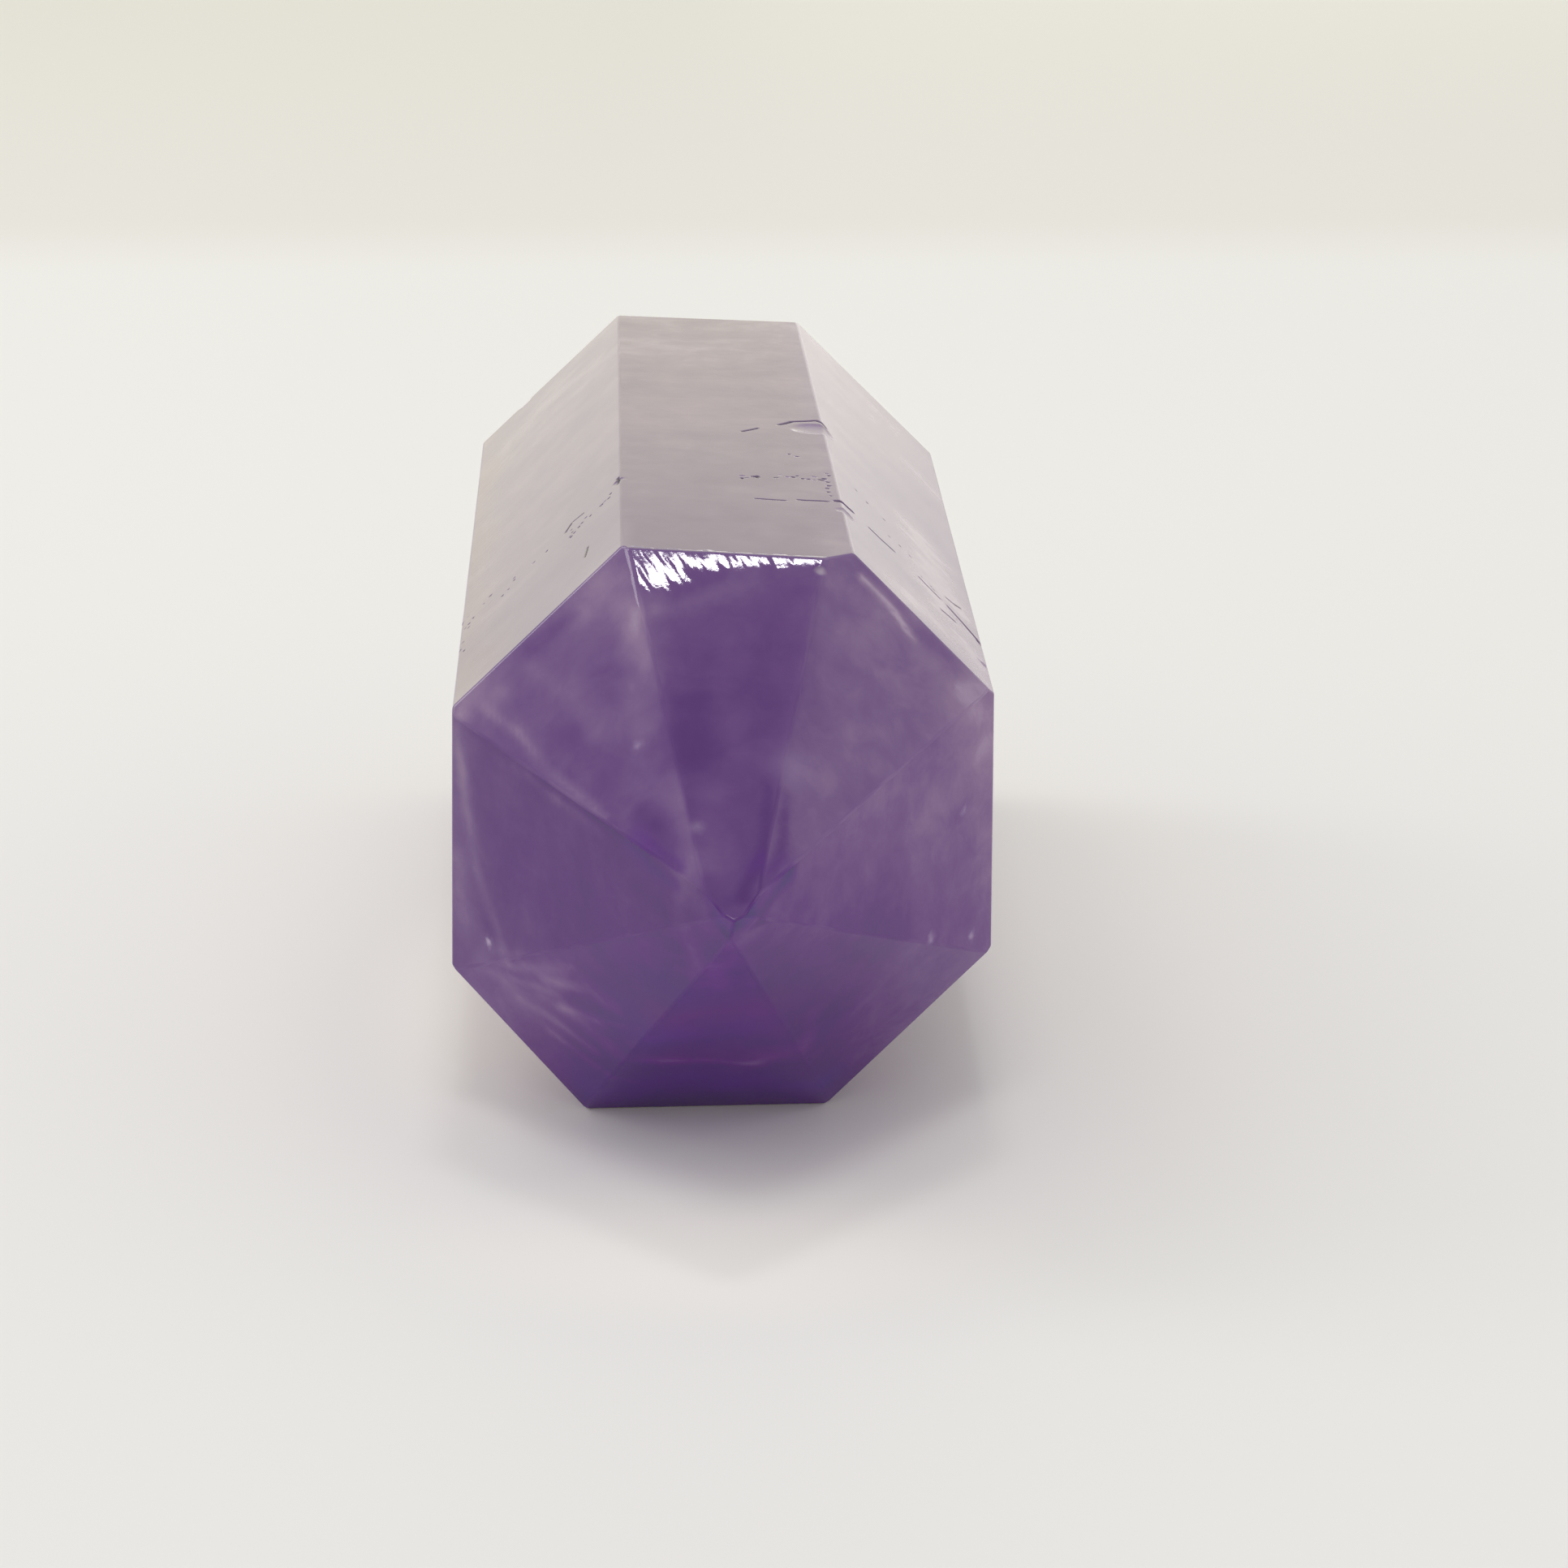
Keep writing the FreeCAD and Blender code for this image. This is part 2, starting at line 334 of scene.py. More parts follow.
def unit(vector):
    """The same direction, with a length of 1."""
    return vector / np.linalg.norm(vector)


def smooth(low, high, values):
    """0 below low, 1 above high, and smooth between."""
    part = np.clip((values - low) / (high - low), 0.0, 1.0)
    return part * part * (3.0 - 2.0 * part)


def noise_at(places, wavelength):
    """Smooth noise from about -1 to 1 at each place."""
    return np.array([noise.noise(Vector(place) / wavelength) for place in places])


def distance_to_line(places, line):
    """Each place's distance to a line through points, and how far along the line it lies, 0 to 1."""
    steps = np.linalg.norm(np.diff(line, axis=0), axis=1)
    before = np.concatenate(([0.0], np.cumsum(steps)))
    nearest = np.full(len(places), np.inf)
    along = np.zeros(len(places))
    for start, end, step, passed in zip(line, line[1:], steps, before):
        part = np.clip((places - start) @ (end - start) / step**2, 0.0, 1.0)
        away = np.linalg.norm(places - start - part[:, None] * (end - start), axis=1)
        along = np.where(away < nearest, (passed + part * step) / before[-1], along)
        nearest = np.minimum(nearest, away)
    return nearest, along


def settled(line):
    """A line's points, moved onto the surface."""
    return np.array([on_surface(point) for point in line])


def wandering(line):
    """The same line with more points, each a little off the straight way."""
    points = []
    for start, end in zip(np.array(line), np.array(line[1:])):
        for part in (0.0, 0.25, 0.5, 0.75):
            point = start + part * (end - start)
            points.append(point + WANDER * np.array(noise.noise_vector(Vector(point) / WANDER_LENGTH)))
    return points + [line[-1]]


def cracks():
    """Width, depth, line and whether it shows white, of every crack."""
    return [(width, depth, settled(wandering(line)), False) for width, depth, line in CRACKS]


def nicks():
    """The same for the small curved nicks scattered along their lines."""
    chance = random.Random(7)
    found = []
    for count, spread, length, ends in NICKS:
        start, end = (np.array(point) for point in ends)
        for _ in range(count):
            middle = start + (end - start) * chance.random()
            middle += [chance.gauss(0, 0.5) * spread for _ in range(3)]
            turn = np.array([chance.uniform(-1, 1) for _ in range(3)])
            half = unit(turn) * length * chance.uniform(0.3, 1.0) / 2
            bend = unit(np.cross(turn, (0.3, 0.5, 1.0))) * length * NICK_BEND
            line = settled((middle - half, middle + bend, middle + half))
            width = chance.uniform(*NICK_WIDTHS)
            depth = chance.uniform(*NICK_DEPTHS)
            found.append((width, depth, line, chance.random() < WHITE_NICKS))
    return found


MARKS = cracks() + nicks()
DISHES = [(on_surface(place), across, depth) for place, across, depth in CHIPS]


def roll_part(places):
    """How far into the rolled-over edge of the tip's upper flat a place is: 0 outside, 1 at the edge."""
    slant = math.sqrt(1.0 - NORMALS[TIP_TOP, 2] ** 2)
    below_edge = (REACHES[TOP] - places @ NORMALS[TOP]) / slant
    across, widths = zip(*ROLL)
    width = np.interp(places[:, 0], across, widths)
    on_flat = np.abs(places @ NORMALS[TIP_TOP] - REACHES[TIP_TOP]) < ROLL_DEPTH
    return np.where(on_flat, np.clip(1.0 - below_edge / width, 0.0, 1.0), 0.0)


def marks_at(places):
    """At each place the depth of the marks, how dark they are, and how much crushed stone shows."""
    depth = np.zeros(len(places))
    dark = np.zeros(len(places))
    white = np.zeros(len(places))
    for place, across, deepest in DISHES:
        away = np.linalg.norm(places - place, axis=1) * 2.0 / across
        dish = np.clip(1.0 - away**2, 0.0, None)
        depth += deepest * dish
        white = np.maximum(white, CHIP_WHITENESS * dish)
    for width, deepest, line, is_white in MARKS:
        away, along = distance_to_line(places, line)
        fade = smooth(0, MARK_TAPER, along) * smooth(0, MARK_TAPER, 1 - along)
        groove = np.exp(-((away / width) ** 2)) * fade
        depth += deepest * groove
        if is_white:
            white = np.maximum(white, groove)
        else:
            dark = np.maximum(dark, groove)
    return depth, dark, white


def drawn_at(places, normals, lines):
    """How strong the drawn veils and painted light and shade are at each place, seen through the surface
    above them.
    """
    inner = places - VEIL_DEPTH * normals
    warp = np.array([noise.noise_vector(Vector(place) / VEIL_WARP_LENGTH) for place in inner]) * VEIL_WARP
    patchy = 1.0 + VEIL_PATCHES * noise_at(inner, VEIL_PATCH_LENGTH)
    total = np.zeros(len(places))
    for strength, width, line in lines:
        sunk = np.array([point - VEIL_DEPTH * NORMALS[nearest_flat(point)] for point in settled(line)])
        away, _ = distance_to_line(inner + warp, sunk)
        total += strength * np.exp(-((away / width) ** 2))
    return total * patchy


def tones_at(places):
    """Painted light and shade that the tip's flats add, as in TIP_TONES: milkiness, brightness and glare.

    A rounded edge mirrors what its darker side does, so it takes the smaller glare of its two flats.
    """
    turns = np.degrees(np.arctan2(NORMALS[TIP_FLATS, 0], NORMALS[TIP_FLATS, 2]))
    rows = [min(TIP_TONES, key=lambda row: abs((row[0] - turn + 180) % 360 - 180)) for turn in turns]
    heights = places @ NORMALS[TIP_FLATS].T - REACHES[TIP_FLATS]
    heights -= heights.max(axis=1, keepdims=True)

    def blended(values, blend):
        weights = np.exp(heights / blend)
        return weights @ values / weights.sum(axis=1)

    sharp, soft, bright, glare = np.array(rows)[:, 1:].T
    milk = blended(sharp, SHARP_BLEND) + blended(soft, SOFT_BLEND)
    counts = np.exp(heights / SHARP_BLEND) > EDGE_SHARE
    least_glare = np.where(counts, glare, np.inf).min(axis=1)
    in_tip = 1.0 - smooth(GIRDLE, GIRDLE + TONE_FADE, places[:, 1])
    return [
        in_tip * milk,
        1.0 + in_tip * (blended(bright, SHARP_BLEND) - 1.0),
        in_tip * least_glare,
    ]


def flecks_at(places):
    """How bright the flecks are at each place."""
    total = np.zeros(len(places))
    for place, width, strength in FLECKS:
        total += strength * np.exp(-((np.linalg.norm(places - on_surface(place), axis=1) / width) ** 2))
    return total


# ---------------------------------------------------------------- the stone's mesh

def wanted_step(places):
    """How long a triangle's sides may be at each place."""
    step = np.where(places[:, 1] < GIRDLE + TIP_STEP, TIP_STEP, PRISM_STEP)
    step = np.where(roll_part(places) > 0, ROLL_STEP, step)
    for width, _, line, _ in MARKS:
        reach = 3.0 * PRISM_STEP + np.ptp(line, axis=0).max()
        close = np.abs(places - line.mean(axis=0)).max(axis=1) < reach
        away, _ = distance_to_line(places[close], line)
        finest = MARK_STEP + STEP_GROWTH * np.maximum(0.0, away - 2.0 * width)
        step[close] = np.minimum(step[close], finest)
    for place, across, _ in DISHES:
        away = np.linalg.norm(places - place, axis=1)
        step = np.minimum(step, CHIP_STEP + STEP_GROWTH * np.maximum(0.0, away - across))
    return step


def rounded_edges():
    """The rounded edges between the flats, as a mesh, and the outline left open for each flat."""
    mesh = bmesh.new()
    for corner in corners():
        mesh.verts.new(corner)
    bmesh.ops.convex_hull(mesh, input=mesh.verts[:])
    bmesh.ops.dissolve_limit(
        mesh, angle_limit=math.radians(0.3), verts=mesh.verts[:], edges=mesh.edges[:]
    )
    bmesh.ops.bevel(
        mesh, geom=mesh.edges[:], offset=EDGE_WEAR, segments=EDGE_SEGMENTS, profile=0.5, affect="EDGES"
    )
    mesh.normal_update()
    flats = [
        face for face in mesh.faces
        if (NORMALS @ np.array(face.normal)).max() > math.cos(SAME_ANGLE)
    ]
    outlines = [
        (int(np.argmax(NORMALS @ np.array(face.normal))), np.array([vert.co for vert in face.verts]))
        for face in flats
    ]
    bmesh.ops.delete(mesh, geom=flats, context="FACES_ONLY")
    return mesh, outlines


def split_edges(mesh):
    """Halve each edge until none is longer than its zone allows."""
    while True:
        ends = np.array([(*edge.verts[0].co, *edge.verts[1].co) for edge in mesh.edges])
        lengths = np.linalg.norm(ends[:, :3] - ends[:, 3:], axis=1)
        long = lengths > wanted_step((ends[:, :3] + ends[:, 3:]) / 2.0)
        if not long.any():
            break
        split = [edge for edge, is_long in zip(mesh.edges, long) if is_long]
        bmesh.ops.subdivide_edges(mesh, edges=split, cuts=1)
    bmesh.ops.triangulate(mesh, faces=mesh.faces[:])


def inner_places(normal, outline):
    """Places inside a flat's outline, closer together where the surface has marks."""
    sides = np.roll(outline, -1, axis=0) - outline
    inward = np.array([unit(np.cross(normal, side)) for side in sides])
    across = unit(sides[0])
    up = np.cross(normal, across)
    flat = np.array([(outline - outline[0]) @ across, (outline - outline[0]) @ up])
    low, high = flat.min(axis=1), flat.max(axis=1)
    rows, columns = (np.arange(a, b + PRISM_STEP, PRISM_STEP) for a, b in zip(low, high))
    cells = np.array([(a, b) for a in rows for b in columns])
    size = PRISM_STEP
    kept = []
    while len(cells):
        places = outline[0] + cells @ np.array([across, up])
        inside = ((places[:, None] - outline) * inward).sum(axis=2).min(axis=1)
        coarse = wanted_step(places) < size
        kept.append(places[~coarse & (inside > 0.4 * size)])
        near = coarse & (inside > -size)
        quarters = np.array([(a, b) for a in (-1, 1) for b in (-1, 1)]) * size / 4
        cells = (cells[near][:, None] + quarters).reshape(-1, 2)
        size /= 2
    return np.concatenate(kept), across, up


def fill_flat(mesh, number, outline):
    """Close one flat with triangles between its rounded edges and its inner places."""
    normal, reach = NORMALS[number], REACHES[number]
    rim = [
        edge for edge in mesh.edges
        if edge.is_boundary and all(abs(normal @ np.array(vert.co) - reach) < NEAR for vert in edge.verts)
    ]
    verts = list({vert: None for edge in rim for vert in edge.verts})
    order = {vert: k for k, vert in enumerate(verts)}
    inner, across, up = inner_places(normal, outline)
    verts += [mesh.verts.new(place) for place in inner]
    flat = [Vector((np.array(vert.co) @ across, np.array(vert.co) @ up)) for vert in verts]
    edges = [(order[edge.verts[0]], order[edge.verts[1]]) for edge in rim]
    only_inside = 1
    _, _, faces, sources, _, _ = delaunay_2d_cdt(flat, edges, [], only_inside, NEAR**2)
    for face in faces:
        mesh.faces.new([verts[sources[k][0]] for k in face])


def as_arrays(mesh):
    """The places of a mesh's vertices, and the three vertices of each triangle."""
    mesh.verts.index_update()
    places = np.array([vert.co for vert in mesh.verts])
    triangles = np.array([[vert.index for vert in face.verts] for face in mesh.faces])
    return places, triangles


def face_normals(places, triangles):
    """Each triangle's normal, as long as twice its area."""
    a, b, c = (places[triangles[:, k]] for k in range(3))
    return np.cross(b - a, c - a)


def vertex_normals(places, triangles, flat):
    """Normals at the vertices; where a flat meets a rounded edge, the flat's own."""
    crosses = face_normals(places, triangles)
    normals = np.zeros_like(places)
    rounded = np.zeros_like(places)
    for k in range(3):
        np.add.at(normals, triangles[flat, k], crosses[flat])
        np.add.at(rounded, triangles[:, k], crosses)
    alone = ~normals.any(axis=1)
    normals[alone] = rounded[alone]
    return normals / np.linalg.norm(normals, axis=1, keepdims=True)


def rolled(normals, part):
    """Normals leant over towards the top flat where the tip's upper edge is rolled."""
    rise = unit(NORMALS[TOP] - (NORMALS[TOP] @ NORMALS[TIP_TOP]) * NORMALS[TIP_TOP])
    leant = normals + np.tan(ROLL_ANGLE * part**ROLL_BULGE)[:, None] * rise
    return leant / np.linalg.norm(leant, axis=1, keepdims=True)


def polished_solid():
    """Places and triangles of the solid before any mark is cut in it."""
    mesh, outlines = rounded_edges()
    split_edges(mesh)
    for number, outline in outlines:
        fill_flat(mesh, number, outline)
    bmesh.ops.recalc_face_normals(mesh, faces=mesh.faces[:])
    places, triangles = as_arrays(mesh)
    mesh.free()
    return places, triangles


def in_flats(places, triangles):
    """Which triangles lie in a flat, and not in a rounded edge."""
    crosses = face_normals(places, triangles)
    sizes = np.linalg.norm(crosses, axis=1)
    return (crosses @ NORMALS.T).max(axis=1) > math.cos(SAME_ANGLE) * sizes


def values_at(places, normals):
    """How deep the surface is cut at each place, and the values that the material reads there."""
    depth, dark, white = marks_at(places)
    milk, bright, glare = tones_at(places)
    values = {
        "dark": dark,
        "white": white,
        "scuff": roll_part(places),
        "tone": milk,
        "bright": bright,
        "glare": glare,
        "veil_and_painted_light": drawn_at(places, normals, VEILS_AND_PAINTED_LIGHT),
        "blush": drawn_at(places, normals, BLUSHES),
        "deep": drawn_at(places, normals, DEEPS),
        "fleck": flecks_at(places),
        "dull": np.exp(places @ NORMALS[DULL] - REACHES[DULL]),
    }
    return depth + WAVE_HEIGHT * noise_at(places, WAVE_LENGTH), values


def build_stone():
    """The whole stone, which stands for the CAD node."""
    places, triangles = polished_solid()
    flat = in_flats(places, triangles)
    normals = vertex_normals(places, triangles, flat)
    depth, values = values_at(places, normals)
    places = places - normals * depth[:, None]
    normals = rolled(vertex_normals(places, triangles, flat), values["scuff"])

    data = bpy.data.meshes.new("stone")
    data.from_pydata(places * MM, [], triangles.tolist())
    data.shade_smooth()
    data.normals_split_custom_set_from_vertices(normals)
    for name, value in values.items():
        data.attributes.new(name, "FLOAT", "POINT").data.foreach_set("value", value)
    data.materials.append(amethyst())
    stone = link("stone", data)
    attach(stone, "root")
    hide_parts(NODE)


# ---------------------------------------------------------------- the stone's material

def add(tree, kind, inputs=(), **settings):
    """A new node with these settings; each input is a value or the socket that feeds it."""
    node = tree.nodes.new(kind)
    for name, value in settings.items():
        setattr(node, name, value)
    for name, value in dict(inputs).items():
        if isinstance(value, bpy.types.NodeSocket):
            tree.links.new(value, node.inputs[name])
        else:
            node.inputs[name].default_value = value
    return node


def maths(tree, operation, *values):
    """The result of one sum with these values."""
    return add(tree, "ShaderNodeMath", dict(enumerate(values)), operation=operation).outputs[0]


def vectors(tree, operation, **inputs):
    """A vector sum; the inputs are called a, b, c and Scale."""
    numbered = {{"a": 0, "b": 1, "c": 2}.get(name, name): value for name, value in inputs.items()}
    node = add(tree, "ShaderNodeVectorMath", numbered, operation=operation)
    return node.outputs["Value" if operation == "DOT_PRODUCT" else "Vector"]


def texture(tree, vector, scale, detail=2.0, roughness=0.5, distortion=0.0):
    """Noise from -0.5 to 0.5, with this many ups and downs per millimetre."""
    inputs = {
        "Vector": vector,
        "Scale": scale,
        "Detail": detail,
        "Roughness": roughness,
        "Distortion": distortion,
    }
    return maths(tree, "SUBTRACT", add(tree, "ShaderNodeTexNoise", inputs).outputs["Fac"], 0.5)


def drawn(tree, name):
    """A value that build_stone stored in the mesh."""
    return add(tree, "ShaderNodeAttribute", attribute_name=name).outputs["Fac"]


def weighted_sum(tree, start, *terms):
    """start plus each value times its weight."""
    total = start
    for value, weight in terms:
        total = maths(tree, "MULTIPLY_ADD", value, weight, total)
    return total


def rise(tree, value, low, high):
    """0 below low, 1 above high, and smooth between."""
    inputs = {"Value": value, 1: low, 2: high, 3: 0.0, 4: 1.0}
    return add(tree, "ShaderNodeMapRange", inputs, interpolation_type="SMOOTHSTEP").outputs[0]


def ramp(tree, value, stops):
    """The colour that the stops give for a value."""
    node = add(tree, "ShaderNodeValToRGB", {"Fac": value})
    elements = node.color_ramp.elements
    for place, _ in stops[1:-1]:
        elements.new(place)
    for element, (place, colour) in zip(elements, stops):
        element.position = place
        element.color = (*colour, 1.0)
    return node.outputs["Color"]


def mix(tree, factor, first, second):
    """The first colour where the factor is 0, and the second where it is 1."""
    node = add(tree, "ShaderNodeMix", {0: factor}, data_type="RGBA")
    for index, value in ((6, first), (7, second)):
        if isinstance(value, bpy.types.NodeSocket):
            tree.links.new(value, node.inputs[index])
        else:
            node.inputs[index].default_value = (*value, 1.0)
    return node.outputs[2]


def millimetres(tree):
    """The place on the object, in millimetres."""
    coordinates = add(tree, "ShaderNodeTexCoord").outputs["Object"]
    return vectors(tree, "SCALE", a=coordinates, Scale=1.0 / MM)


# From the deep violet of clear stone to the pale lilac of milky stone: milkiness, colour
VIOLETS = (
    (0.00, (0.058, 0.001, 0.128)),
    (0.25, (0.078, 0.013, 0.158)),
    (0.45, (0.115, 0.040, 0.195)),
    (0.65, (0.168, 0.087, 0.240)),
    (0.83, (0.255, 0.163, 0.300)),
    (1.00, (0.400, 0.300, 0.430)),
)
MAGENTA = (0.13, 0.004, 0.17)
DEEP_VIOLET = (0.09, 0.004, 0.21)
FLECK_WHITE = (0.55, 0.45, 0.62)
CRACK_SHADOW = (0.015, 0.008, 0.015)
CRACK_SPREAD = 0.6  # below 1, the shadow fills more of a crack's width
CRUSHED_STONE = (0.48, 0.42, 0.47)
DARKEST = (0.001, 0.001, 0.001)

# How milky the stone is in the tip, how much the veils (with the painted light and shade drawn with them)
# and each kind of cloud change that, and where along y it grows milkier towards the base, and by how much
TIP_MILK = 0.38
VEIL_MILK = 0.9
CLOUD_MILK = 0.35
MOTTLE_MILK = 0.27
STREAK_MILK = 0.14
ZONE_MILK = 0.35
BEHIND_TIP = (-27.0, -6.0)
BEHIND_TIP_MILK = 0.28
TOWARDS_BASE = (-10.0, 36.0)
BASE_MILK = 0.16
CLOUD_DEPTH = 4.0  # the clouds are seen this far below the surface
STREAK_STRETCH = (1.0, 0.3, 1.0)  # streaks run along the stone
ZONE_STRETCH = (0.5, 1.0, 0.8)  # zones of growth lie across it


def stone_colour(tree, surface):
    """Clouds, veils and flecks, seen as if they lay below the surface, with light and shade painted on the
    tip.
    """
    normal = add(tree, "ShaderNodeNewGeometry").outputs["Normal"]
    inner = vectors(tree, "MULTIPLY_ADD", a=normal, b=(-CLOUD_DEPTH,) * 3, c=surface)
    cloud = texture(tree, inner, scale=0.12, distortion=0.8)
    mottle = texture(tree, inner, scale=0.6, detail=5.0, roughness=0.6, distortion=0.4)
    stretched = vectors(tree, "MULTIPLY", a=inner, b=STREAK_STRETCH)
    streaks = texture(tree, stretched, scale=0.5, detail=4.0, distortion=1.0)
    along = add(tree, "ShaderNodeSeparateXYZ", {0: inner}).outputs["Y"]
    behind_tip = rise(tree, along, *BEHIND_TIP)
    stretched = vectors(tree, "MULTIPLY", a=inner, b=ZONE_STRETCH)
    zones = texture(tree, stretched, scale=0.16, detail=3.0, roughness=0.55, distortion=1.2)
    milk = weighted_sum(
        tree,
        TIP_MILK,
        (cloud, CLOUD_MILK),
        (mottle, MOTTLE_MILK),
        (streaks, STREAK_MILK),
        (drawn(tree, "veil_and_painted_light"), VEIL_MILK),
        (drawn(tree, "tone"), 1.0),
        (behind_tip, BEHIND_TIP_MILK),
        (rise(tree, along, *TOWARDS_BASE), BASE_MILK),
        (maths(tree, "MULTIPLY", zones, behind_tip), ZONE_MILK),
    )
    body = ramp(tree, milk, VIOLETS)
    body = mix(tree, drawn(tree, "deep"), body, DEEP_VIOLET)
    body = mix(tree, drawn(tree, "blush"), body, MAGENTA)
    body = mix(tree, drawn(tree, "fleck"), body, FLECK_WHITE)
    # painted light and shade: each flat of the tip made brighter, and darker by the glare of the table it
    # mirrors
    body = vectors(tree, "MULTIPLY", a=body, b=drawn(tree, "bright"))
    body = vectors(tree, "SUBTRACT", a=body, b=drawn(tree, "glare"))
    return vectors(tree, "MAXIMUM", a=body, b=DARKEST)


# The surface: the height in mm of the marks that grinding and polishing left, and the strokes in the
# rolled edge, with their crosswise and lengthwise directions and how many there are to the mm
STROKE_HEIGHT = 0.090
SPECKLE_HEIGHT = 0.0025
POLISH_HEIGHT = 0.0008
STROKES_ACROSS = (0.9, 0.35, 0.235)
STROKES_ALONG = (0.42, -0.75, -0.5)
STROKES_PER_MM = (1.1, 0.25)
SCUFFED = (0.0, 0.4)  # how far into the roll they start, and are at their full height

# Roughness of the polished stone, and how much rougher each kind of wear makes it
POLISHED = 0.05
CRACK_ROUGHNESS = 0.5
CRUSHED_ROUGHNESS = 0.3
SCUFF_ROUGHNESS = 0.05
SMEAR_ROUGHNESS = 0.03
DULL_ROUGHNESS = 0.15
QUARTZ_IOR = 1.544


def scuffs(tree, surface):
    """Height in millimetres of the strokes and speckle that grinding left in the rolled edge."""
    across = vectors(tree, "DOT_PRODUCT", a=surface, b=STROKES_ACROSS)
    along = vectors(tree, "DOT_PRODUCT", a=surface, b=STROKES_ALONG)
    place = add(tree, "ShaderNodeCombineXYZ", {
        0: maths(tree, "MULTIPLY", across, STROKES_PER_MM[0]),
        1: maths(tree, "MULTIPLY", along, STROKES_PER_MM[1]),
    }).outputs[0]
    strokes = texture(tree, place, scale=1.0)
    speckle = texture(tree, surface, scale=7.0, detail=1.0)
    height = weighted_sum(tree, 0.0, (strokes, STROKE_HEIGHT), (speckle, SPECKLE_HEIGHT))
    return maths(tree, "MULTIPLY", height, rise(tree, drawn(tree, "scuff"), *SCUFFED))


def amethyst():
    """Polished stone, with its cracks, crushed chips, scuffed edge and one dull flat."""
    material = bpy.data.materials.new("amethyst")
    material.use_nodes = True
    tree = material.node_tree
    shader = tree.nodes["Principled BSDF"]
    surface = millimetres(tree)
    dark, white = drawn(tree, "dark"), drawn(tree, "white")
    colour = mix(tree, white, stone_colour(tree, surface), CRUSHED_STONE)
    colour = mix(tree, maths(tree, "POWER", dark, CRACK_SPREAD), colour, CRACK_SHADOW)
    smears = texture(tree, surface, scale=0.4, detail=3.0)
    rough = weighted_sum(
        tree,
        POLISHED,
        (dark, CRACK_ROUGHNESS),
        (white, CRUSHED_ROUGHNESS),
        (drawn(tree, "scuff"), SCUFF_ROUGHNESS),
        (smears, SMEAR_ROUGHNESS),
        (drawn(tree, "dull"), DULL_ROUGHNESS),
    )
    polish = texture(tree, surface, scale=1.6, detail=3.0, roughness=0.6)
    height = weighted_sum(tree, scuffs(tree, surface), (polish, POLISH_HEIGHT))
    bump = add(tree, "ShaderNodeBump", {"Height": height, "Distance": MM, "Strength": 1.0})
    tree.links.new(colour, shader.inputs["Base Color"])
    tree.links.new(rough, shader.inputs["Roughness"])
    tree.links.new(bump.outputs["Normal"], shader.inputs["Normal"])
    shader.inputs["IOR"].default_value = QUARTZ_IOR
    return material


# ---------------------------------------------------------------- studio

CAMERA_PLACE = (-3.6, -267.8, 83.8)
CAMERA_AIM = (3.2, -7.5, 12.2)
LENS = 130.4
SENSOR = 36.0

# Round lamps above: direction, diameter, power in watts, colour
LAMP_DISTANCE = 500.0
LAMPS = {
    "front_lamp": ((-0.03, -0.30, 1.0), 150, 0.28, (1.0, 0.97, 0.92)),
    "top_lamp": ((0.02, 0.30, 1.0), 62, 0.20, (1.0, 1.0, 1.0)),
    "back_lamp": ((-0.5, 0.7, 1.0), 150, 0.11, (1.0, 1.0, 0.98)),
    "left_lamp": ((-1.2, 0.7, 1.0), 200, 0.24, (1.0, 1.0, 1.0)),
}

# Bright cards behind the stone, hidden from the camera, that its long flats mirror: the left and
# right ends in x, the lower and upper ends in z, and how much brighter they are than the sky
CARDS_Y = 500.0
CARD_POWER = 4.0  # watts for each square metre of a card whose brightness is 1
CARDS = {
    "left_card": (-420, -10, 0, 90, (0.25, 0.25, 0.10)),
    "right_card": (10, 420, 0, 90, (0.68, 0.67, 0.54)),
    "top_card": (-250, 250, 92, 230, (0.21, 0.22, 0.01)),
}

SKY = (0.705, 0.695, 0.69)
TABLE = (0.845, 0.84, 0.825)
TABLE_FAR = (0.79, 0.775, 0.74)
TABLE_TURNS = (195.0, 225.0)  # where along y the table's colour turns from the first to the second
TABLE_ROUGHNESS = 0.6
TABLE_SIZE = 4000.0

# Light that comes through the stone and warms its shadow on the table: the middle of each glow, x
# and y, how far it reaches in x and y, and how strong it is
GLOWS = (
    (0, 12, 36, 60, 0.06),
    (-10, -4, 9, 26, 0.09),
    (0, -38, 16, 12, 0.06),
)
GLOW_CORE = 0.2  # the share of its reach in which a glow is full
GLOW_COLOUR = (1.0, 0.89, 0.62)
GLOW_BEHIND_CARDS = 0.15  # the cards light only the table before them; this evens out the rest
BEHIND_CARDS = (CARDS_Y - 2.0, CARDS_Y + 2.0)


def add_camera():
    """A long lens that looks at the tip from a little above."""
    data = bpy.data.cameras.new("camera")
    data.lens = LENS
    data.sensor_width = SENSOR
    data.clip_start = 0.01
    camera = link("camera", data)
    camera.location = Vector(CAMERA_PLACE) * MM
    camera.rotation_euler = (Vector(CAMERA_AIM) - Vector(CAMERA_PLACE)).to_track_quat("-Z", "Y").to_euler()
    bpy.context.scene.camera = camera


def add_lamp(name, towards, diameter, power, colour):
    """A round lamp that shines on the stone from this direction."""
    data = bpy.data.lights.new(name, "AREA")
    data.shape = "DISK"
    data.size = diameter * MM
    data.energy = power
    data.color = colour
    lamp = link(name, data)
    lamp.location = Vector(towards).normalized() * LAMP_DISTANCE * MM
    lamp.rotation_euler = lamp.location.to_track_quat("Z", "Y").to_euler()


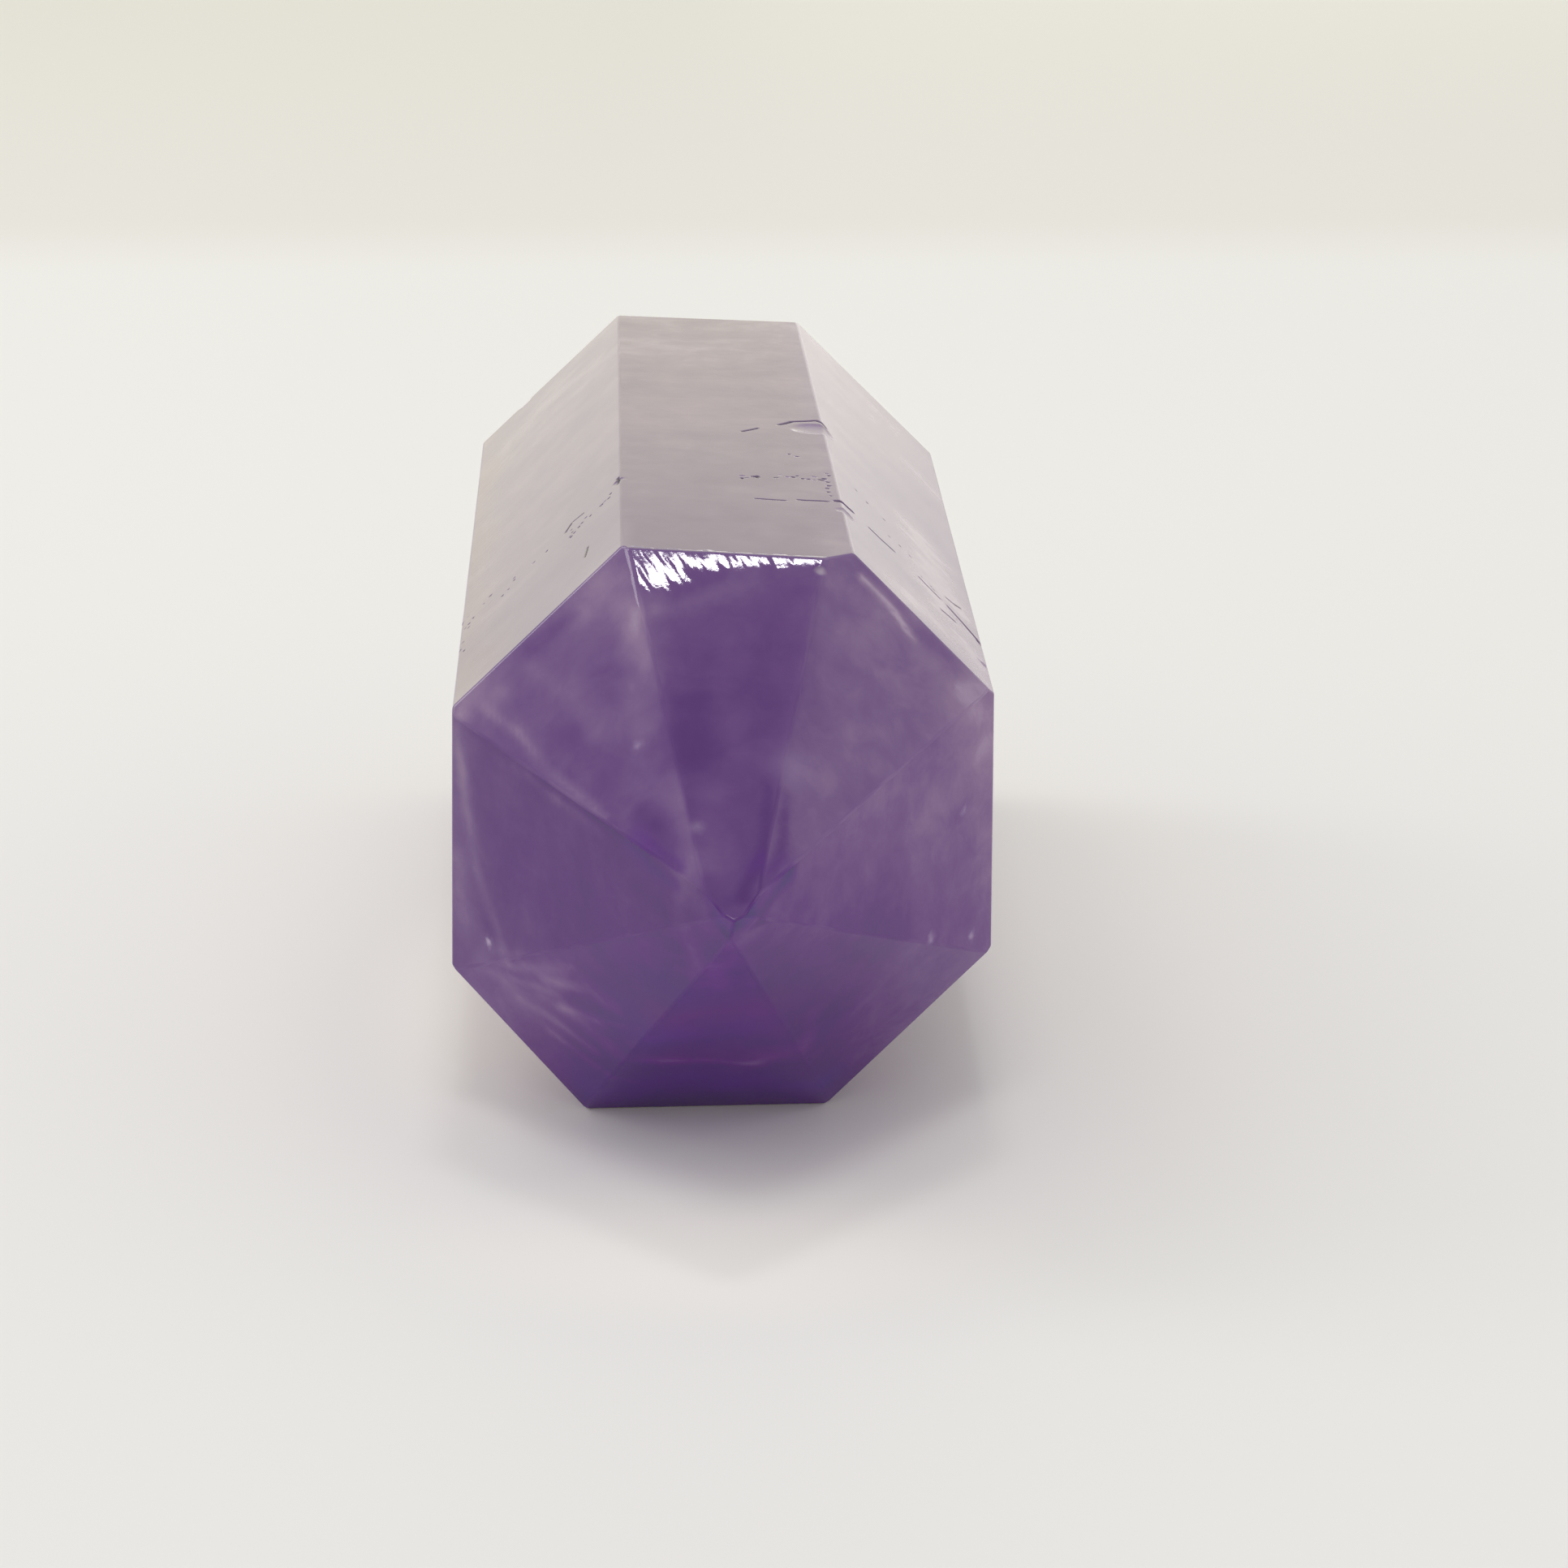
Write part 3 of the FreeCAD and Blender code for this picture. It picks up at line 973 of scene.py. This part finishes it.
def add_card(name, left, right, low, high, brightness):
    """An upright card that shines forward with this brightness."""
    data = bpy.data.lights.new(name, "AREA")
    data.shape = "RECTANGLE"
    data.size = (right - left) * MM
    data.size_y = (high - low) * MM
    data.energy = CARD_POWER * data.size * data.size_y
    data.color = brightness
    card = link(name, data)
    card.location = Vector(((left + right) / 2, CARDS_Y, (low + high) / 2)) * MM
    card.rotation_euler = (-math.pi / 2, 0.0, 0.0)
    card.visible_camera = False


def glow(tree, place):
    """How strongly the light that came through the stone shines on the table.

    Each glow is full in its core and falls to nothing at its reach.
    """
    total = 0.0
    for x, y, reach_x, reach_y, strength in GLOWS:
        from_middle = vectors(tree, "SUBTRACT", a=place, b=(x, y, 0.0))
        scaled = vectors(tree, "DIVIDE", a=from_middle, b=(reach_x, reach_y, 1.0))
        away = add(tree, "ShaderNodeVectorMath", {0: scaled}, operation="LENGTH").outputs["Value"]
        total = maths(tree, "MULTIPLY_ADD", rise(tree, away, 1.0, GLOW_CORE), strength, total)
    return total


def table_material():
    """Matt white, a little greyer far away, and lit where light comes through the stone."""
    material = bpy.data.materials.new("table")
    material.use_nodes = True
    tree = material.node_tree
    shader = tree.nodes["Principled BSDF"]
    place = millimetres(tree)
    along = add(tree, "ShaderNodeSeparateXYZ", {0: place}).outputs["Y"]
    colour = mix(tree, rise(tree, along, *TABLE_TURNS), TABLE, TABLE_FAR)
    tree.links.new(colour, shader.inputs["Base Color"])
    behind_cards = rise(tree, along, *BEHIND_CARDS)
    shine = maths(tree, "MULTIPLY_ADD", behind_cards, GLOW_BEHIND_CARDS, glow(tree, place))
    tree.links.new(shine, shader.inputs["Emission Strength"])
    shader.inputs["Emission Color"].default_value = (*GLOW_COLOUR, 1.0)
    shader.inputs["Roughness"].default_value = TABLE_ROUGHNESS
    return material


def add_table():
    """The plain pale table, which isn't part of the object."""
    bpy.ops.mesh.primitive_plane_add(size=TABLE_SIZE * MM)
    table = bpy.context.object
    table.name = "table"
    table.data.materials.append(table_material())


def add_sky():
    """An even pale sky."""
    world = bpy.data.worlds.new("studio")
    bpy.context.scene.world = world
    world.use_nodes = True
    world.node_tree.nodes["Background"].inputs["Color"].default_value = (*SKY, 1.0)


build_stone()
add_camera()
for name, settings in LAMPS.items():
    add_lamp(name, *settings)
for name, settings in CARDS.items():
    add_card(name, *settings)
add_table()
add_sky()
bpy.context.scene.view_settings.view_transform = "Standard"
